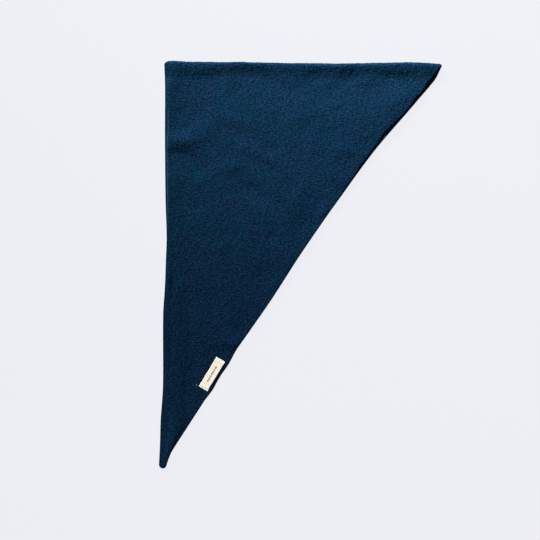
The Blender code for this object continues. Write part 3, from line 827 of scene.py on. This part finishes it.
def make_sewing():
    """The stitches across both ends of the label, and the end of the thread."""
    bm = bmesh.new()
    count = round((LABEL_WIDTH - 1.2) / SEWING_PITCH)
    for side in (-1, 1):
        lengthwise = side * (LABEL_LENGTH / 2 - SEWING_INSET)
        for i in range(count):
            middle = (i + 0.5 - count / 2) * SEWING_PITCH
            path = []
            for k in range(7):
                share = k / 6
                arch = SEWING_ARCH * math.sin(math.pi * share) - SEWING_SUNK
                sideways = middle + (share - 0.5) * SEWING_PITCH * 0.86
                path.append(on_label(lengthwise, sideways, arch))
            draw_thread(bm, path, SEWING_RADIUS)
    path = [on_cloth(across, along, out) for across, along, out in THREAD_END]
    draw_thread(bm, path, THREAD_END_RADIUS)
    mesh = bpy.data.meshes.new("label_sewing")
    bmesh.ops.scale(bm, verts=bm.verts[:], vec=(MM, MM, MM))
    bmesh.ops.recalc_face_normals(bm, faces=bm.faces[:])
    bm.to_mesh(mesh)
    bm.free()
    return show("label_sewing", mesh)


# Materials


def give(tree, node, inputs):
    """Gives a node its inputs, each another node's socket or a plain value."""
    for key, value in dict(inputs).items():
        socket = node.inputs[key]
        if isinstance(value, bpy.types.NodeSocket):
            tree.links.new(value, socket)
        else:
            socket.default_value = value
    return node


def put(tree, kind, inputs=(), **settings):
    """Adds a node with these settings and inputs."""
    node = tree.nodes.new(kind)
    for name, value in settings.items():
        setattr(node, name, value)
    return give(tree, node, inputs)


def calc(tree, operation, *values, clamp=False):
    """The result of one step of arithmetic."""
    inputs = dict(enumerate(values))
    return put(tree, "ShaderNodeMath", inputs, operation=operation, use_clamp=clamp).outputs[0]


def noise(tree, place, scale, detail=2.0, roughness=0.5):
    """Soft noise, from 0 to 1, with this many clouds a metre."""
    inputs = {"Vector": place, "Scale": scale, "Detail": detail, "Roughness": roughness}
    return put(tree, "ShaderNodeTexNoise", inputs).outputs["Fac"]


def mesh_note(tree, name, output="Vector"):
    """What a piece's mesh notes under this name at each place."""
    return put(tree, "ShaderNodeAttribute", attribute_name=name).outputs[output]


def stretch(tree, place, scale=(1.0, 1.0, 1.0), turn=0.0):
    """The place with its axes turned about Z and scaled."""
    inputs = {"Vector": place, "Scale": scale, "Rotation": (0.0, 0.0, turn)}
    return put(tree, "ShaderNodeMapping", inputs, vector_type="POINT").outputs[0]


def mix_colours(tree, share, first, second, blend_type="MIX"):
    """A colour between two, by the share. Each is a socket or three plain values."""
    node = put(tree, "ShaderNodeMix", data_type="RGBA", blend_type=blend_type)
    for key, value in (("Factor", share), ("A", first), ("B", second)):
        socket = [s for s in node.inputs if s.name == key and s.enabled][0]
        if isinstance(value, bpy.types.NodeSocket):
            tree.links.new(value, socket)
        else:
            socket.default_value = (*value, 1.0) if isinstance(value, tuple) else value
    return [s for s in node.outputs if s.enabled][0]


def stretch_share(tree, value, low, high):
    """The value spread out, so that this range fills 0 to 1."""
    inputs = {"Value": value, "From Min": low, "From Max": high}
    return put(tree, "ShaderNodeMapRange", inputs, clamp=True).outputs["Result"]


def bumpy(tree, height):
    """The surface's direction with this height, in metres, as fine bumps."""
    inputs = {"Distance": 1.0, "Strength": 1.0, "Height": height}
    return put(tree, "ShaderNodeBump", inputs).outputs["Normal"]


def new_group(name, inputs, outputs):
    """An empty node group with these sockets, each a name and a kind."""
    group = bpy.data.node_groups.new(name, "ShaderNodeTree")
    for in_out, sockets in (("INPUT", inputs), ("OUTPUT", outputs)):
        for label, kind in sockets.items():
            group.interface.new_socket(label, in_out=in_out, socket_type="NodeSocket" + kind)
    entry = group.nodes.new("NodeGroupInput")
    return group, entry.outputs, group.nodes.new("NodeGroupOutput")


def knit_group():
    """Milled knit: rows of slanting stitches, half hidden by felted nap."""
    group, given, leaving = new_group(
        "Milled knit",
        {"Place": "Vector", "Stitch depth": "Float", "Nap depth": "Float"},
        {"Height": "Float", "Tone and painted shade": "Float", "Speckle": "Float"},
    )
    place = given["Place"]
    split = put(group, "ShaderNodeSeparateXYZ", {0: place}).outputs
    wander = calc(group, "MULTIPLY_ADD", noise(group, place, 90.0, 2.0), 0.5, -0.25)
    course = calc(group, "DIVIDE", split["X"], COURSE * MM)
    course = calc(group, "ADD", course, wander)
    unskewed = calc(group, "MULTIPLY_ADD", split["X"], -SKEW, split["Y"])
    rib = calc(group, "DIVIDE", unskewed, WALE * MM)
    wander_rib = calc(group, "MULTIPLY_ADD", noise(group, place, 70.0, 2.0), 0.4, -0.2)
    rib = calc(group, "ADD", rib, wander_rib)
    nearest = calc(group, "ROUND", rib)
    beside = calc(group, "ABSOLUTE", calc(group, "SUBTRACT", rib, nearest))
    leg = calc(group, "SINE", calc(group, "MULTIPLY", beside, 2 * math.pi))
    leg = calc(group, "POWER", calc(group, "MAXIMUM", leg, 0.0), 0.6)
    phase = calc(group, "SUBTRACT", course, beside)
    loop = calc(group, "COSINE", calc(group, "MULTIPLY", phase, 2 * math.pi))
    loop = calc(group, "MULTIPLY_ADD", loop, 0.5, 0.5)
    loop = calc(group, "POWER", loop, 0.7)
    stitch = calc(group, "MULTIPLY", leg, calc(group, "MULTIPLY_ADD", loop, 0.2, 0.8))
    fibres = noise(group, stretch(group, place, (1.0, 0.55, 1.0), 0.4), 1500.0, 4.0, 0.62)
    tufts = noise(group, place, 520.0, 3.0, 0.6)
    felt = calc(group, "MULTIPLY_ADD", tufts, 0.6, calc(group, "MULTIPLY", fibres, 0.4))
    along_ribs = stretch(group, place, (0.62, 1.25, 1.0), -math.atan(SKEW))
    speckle = noise(group, along_ribs, 430.0, 1.5, 0.7)
    deep = calc(group, "MULTIPLY", stitch, given["Stitch depth"])
    height = calc(group, "MULTIPLY_ADD", felt, given["Nap depth"], deep)
    height = calc(group, "MULTIPLY_ADD", speckle, given["Nap depth"], height)
    # This tone follows the relief, so hollows are painted darker and raised felt paler: painted
    # shade and highlight
    tone = calc(group, "MULTIPLY_ADD", felt, 0.80, calc(group, "MULTIPLY", stitch, 0.25))
    height = calc(group, "MULTIPLY", height, MM)
    give(group, leaving, {"Height": height, "Tone and painted shade": tone, "Speckle": speckle})
    return group


def new_material(name):
    """A material with only its shader and output, and the shader."""
    material = bpy.data.materials.new(name)
    material.use_nodes = True
    return material, material.node_tree, material.node_tree.nodes["Principled BSDF"]


def knit_material(name, knit, deep_and_shaded_colour, crest_and_highlit_colour):
    """Milled petrol wool, with painted shade in its hollows and a painted highlight on its crests.
    """
    material, tree, shader = new_material(name)
    place = mesh_note(tree, "flat_place")
    depths = {"Place": place, "Stitch depth": STITCH_DEPTH, "Nap depth": NAP_DEPTH}
    stitch = give(tree, put(tree, "ShaderNodeGroup", node_tree=knit), depths).outputs
    clouds = noise(tree, place, 45.0, 3.0, 0.55)
    # The speckle also raises the bump, so the tone mixes random tone with painted shade and
    # highlight
    tone = calc(tree, "MULTIPLY_ADD", clouds, 0.25, stitch["Tone and painted shade"])
    tone = calc(tree, "MULTIPLY_ADD", stitch["Speckle"], SPECKLE_SHARE, tone)
    share = calc(tree, "ADD", tone, TONE_SHIFT, clamp=True)
    colour = mix_colours(tree, share, deep_and_shaded_colour, crest_and_highlit_colour)
    melange = stretch_share(tree, noise(tree, place, MELANGE_CLOUDS, 2.0, 0.6), 0.34, 0.66)
    along = put(tree, "ShaderNodeSeparateXYZ", {"Vector": place}).outputs["Y"]
    to_tips = stretch_share(tree, along, *VIOLET_TURN)
    melange = calc(tree, "MULTIPLY_ADD", to_tips, VIOLET_BY_TIPS, melange, clamp=True)
    cast = mix_colours(tree, melange, TEAL_CAST, VIOLET_CAST)
    colour = mix_colours(tree, 1.0, colour, cast, "MULTIPLY")
    rim = mesh_note(tree, "rim", "Fac")
    # A painted highlight: paler wool where the rim note is positive, mottled by the knit's tone
    pale = calc(tree, "MAXIMUM", rim, 0.0)
    painted_highlight = calc(tree, "MULTIPLY", pale, stretch_share(tree, stitch["Tone and painted shade"], 0.25, 0.6))
    colour = mix_colours(tree, painted_highlight, colour, PAINTED_RIM_HIGHLIGHT)
    # Painted shade: darker wool where the rim note is negative
    painted_shade_share = calc(tree, "MULTIPLY", rim, -1.0, clamp=True)
    colour = mix_colours(tree, painted_shade_share, colour, PAINTED_EDGE_SHADE)
    give(tree, shader, {
        "Base Color": colour,
        "Normal": bumpy(tree, stitch["Height"]),
        "Roughness": 0.92,
        "Specular IOR Level": 0.0,
        "Sheen Weight": 0.16,
        "Sheen Roughness": 0.3,
        "Sheen Tint": (0.06, 0.40, 0.55, 1.0),
    })
    return material


def motif(tree, lengthwise, sideways):
    """Mask of the motif: a row of small woven lozenges, set thread by thread."""
    thread = WARP_PITCH * MM
    steps = []
    for value in (lengthwise, sideways):
        whole = calc(tree, "ROUND", calc(tree, "DIVIDE", value, thread))
        steps.append(calc(tree, "MULTIPLY", whole, thread))
    near = calc(tree, "ROUND", calc(tree, "DIVIDE", steps[0], MOTIF_PITCH * MM))
    beside = calc(tree, "MULTIPLY_ADD", near, -MOTIF_PITCH * MM, steps[0])
    reach = calc(tree, "DIVIDE", calc(tree, "ABSOLUTE", beside), MOTIF_PITCH * 0.52 * MM)
    rise = calc(tree, "DIVIDE", calc(tree, "ABSOLUTE", steps[1]), MOTIF_HEIGHT / 2 * MM)
    from_middle = calc(tree, "ADD", reach, rise)
    lozenge = calc(tree, "LESS_THAN", from_middle, 1.0)
    hole = calc(tree, "GREATER_THAN", from_middle, 0.24)
    in_row = calc(tree, "LESS_THAN", calc(tree, "ABSOLUTE", near), MOTIF_COUNT / 2)
    return calc(tree, "MULTIPLY", calc(tree, "MULTIPLY", lozenge, hole), in_row)


def label_material():
    """Cream woven tape with a small motif in grey-brown thread."""
    material, tree, shader = new_material("Woven cream tape")
    place = mesh_note(tree, "flat_place")
    split = put(tree, "ShaderNodeSeparateXYZ", {0: place}).outputs
    warp, weft = (
        calc(tree, "SINE", calc(tree, "MULTIPLY", split[axis], 2 * math.pi / (pitch * MM)))
        for axis, pitch in (("Y", WARP_PITCH), ("X", WEFT_PITCH))
    )
    weave = calc(tree, "MULTIPLY", warp, weft)
    ribs = calc(tree, "MULTIPLY_ADD", weft, 0.5, weave)
    slub = noise(tree, stretch(tree, place, (0.35, 1.0, 1.0)), 1400.0, 3.0)
    clouds = noise(tree, place, 180.0, 2.0)
    tone = calc(tree, "MULTIPLY_ADD", slub, 0.7, calc(tree, "MULTIPLY", clouds, 0.5))
    share = calc(tree, "MULTIPLY_ADD", weave, 0.10, calc(tree, "SUBTRACT", tone, 0.1), clamp=True)
    ground = mix_colours(tree, share, LABEL_SHADE, LABEL_CREAM)
    mark = motif(tree, split["X"], split["Y"])
    inked = calc(tree, "MULTIPLY", mark, calc(tree, "MULTIPLY_ADD", slub, 0.2, 0.8))
    colour = mix_colours(tree, inked, ground, MOTIF_COLOUR)
    height = calc(tree, "MULTIPLY_ADD", ribs, 0.018 * MM, calc(tree, "MULTIPLY", slub, 0.03 * MM))
    raised = calc(tree, "MULTIPLY_ADD", mark, 0.05 * MM, height)
    give(tree, shader, {
        "Base Color": colour,
        "Normal": bumpy(tree, raised),
        "Roughness": 0.72,
        "Specular IOR Level": 0.35,
        "Sheen Weight": 0.10,
    })
    return material


def thread_material():
    """Twisted cream sewing thread."""
    material, tree, shader = new_material("Cream sewing thread")
    place = put(tree, "ShaderNodeTexCoord").outputs["Object"]
    twist = put(
        tree, "ShaderNodeTexWave",
        {"Vector": stretch(tree, place, (1.0, 1.0, 1.0), 0.6), "Scale": 1600.0, "Distortion": 1.0},
    ).outputs["Fac"]
    colour = mix_colours(tree, twist, LABEL_SHADE, LABEL_CREAM)
    normal = bumpy(tree, calc(tree, "MULTIPLY", twist, 0.04 * MM))
    give(tree, shader, {"Base Color": colour, "Normal": normal, "Roughness": 0.6})
    return material


def floor_material():
    """A pale surface that glows a little, so that it stays even."""
    material, tree, shader = new_material("Pale floor")
    give(tree, shader, {
        "Base Color": (0.012, 0.012, 0.012, 1.0),
        "Roughness": 1.0,
        "Specular IOR Level": 0.0,
        "Emission Color": (*FLOOR_GLOW, 1.0),
        "Emission Strength": 1.0,
    })
    return material


# Studio


def make_camera():
    """Straight above the scarf, as in the photograph."""
    data = bpy.data.cameras.new("camera")
    data.lens, data.sensor_width = 85.0, 36.0
    data.clip_start, data.clip_end = 0.01, 30.0
    camera = bpy.data.objects.new("camera", data)
    camera.location = CAMERA_PLACE
    bpy.context.scene.collection.objects.link(camera)
    bpy.context.scene.camera = camera


def make_lamp(name, place, aim, size, spread, energy, colour):
    """A square soft lamp that looks at a point."""
    data = bpy.data.lights.new(name, "AREA")
    data.shape, data.size = "SQUARE", size
    data.energy, data.color = energy, colour
    data.spread = spread
    lamp = bpy.data.objects.new(name, data)
    lamp.location = place
    way = Vector(aim) - Vector(place)
    lamp.rotation_euler = way.to_track_quat("-Z", "Y").to_euler()
    bpy.context.scene.collection.objects.link(lamp)


def make_surroundings():
    """Pale to the camera, and a low even light on the scarf."""
    world = bpy.data.worlds.new("studio")
    world.use_nodes = True
    bpy.context.scene.world = world
    tree = world.node_tree
    light = tree.nodes["Background"]
    light.inputs["Color"].default_value = (0.96, 0.98, 1.0, 1.0)
    light.inputs["Strength"].default_value = AMBIENT
    pale = put(tree, "ShaderNodeBackground", {"Color": (*FLOOR_TONE, 1.0), "Strength": 1.0})
    seen = put(tree, "ShaderNodeLightPath").outputs["Is Camera Ray"]
    both = put(
        tree, "ShaderNodeMixShader", {0: seen, 1: light.outputs[0], 2: pale.outputs[0]}
    )
    tree.links.new(both.outputs[0], tree.nodes["World Output"].inputs["Surface"])


def make_floor():
    """The pale surface that the scarf lies on."""
    bm = bmesh.new()
    bmesh.ops.create_grid(bm, x_segments=1, y_segments=1, size=6.0)
    bmesh.ops.translate(bm, verts=bm.verts[:], vec=(0.0, 0.0, -0.1 * MM))
    mesh = bpy.data.meshes.new("floor")
    bm.to_mesh(mesh)
    bm.free()
    floor = show("floor", mesh)
    mesh.materials.append(floor_material())
    return floor


upper_cloth = make_upper_cloth()
lower_cloth = make_lower_cloth()
mark_painted_rim_light(upper_cloth, "upper")
mark_painted_rim_light(lower_cloth, "lower")
label = make_label()
sewing = make_sewing()

knit = knit_group()
wool = knit_material("Milled wool", knit, DEEP_WOOL_AND_SHADE, CREST_WOOL_AND_HIGHLIGHT)
# The lower half wears a darker copy of the wool, as painted shade
painted_shade_wool = knit_material("Milled wool with painted shade", knit, DEEP_MARGIN_PAINTED_SHADE, CREST_MARGIN_PAINTED_SHADE)
finishes = (
    (upper_cloth, "knit_upper", wool),
    (lower_cloth, "knit_lower", painted_shade_wool),
    (label, "woven_label", label_material()),
    (sewing, "woven_label", thread_material()),
)
for piece, slot, material in finishes:
    piece.data.materials.append(material)
    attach(piece, "root")

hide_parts("upper_half")
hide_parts("lower_half")
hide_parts("label")
flat_area("upper", FOLD_LINE + TURN_LENGTH + TURN_UNDER)
flat_area("lower", FOLD_LINE)
make_floor()
make_camera()
make_lamp("key", KEY_PLACE, KEY_AIM, 0.55, KEY_SPREAD, KEY_ENERGY, KEY_COLOUR)
make_lamp("fill", FILL_PLACE, FILL_AIM, 0.20, FILL_SPREAD, FILL_ENERGY, FILL_COLOUR)
make_surroundings()
bpy.context.scene.view_settings.view_transform = "Standard"
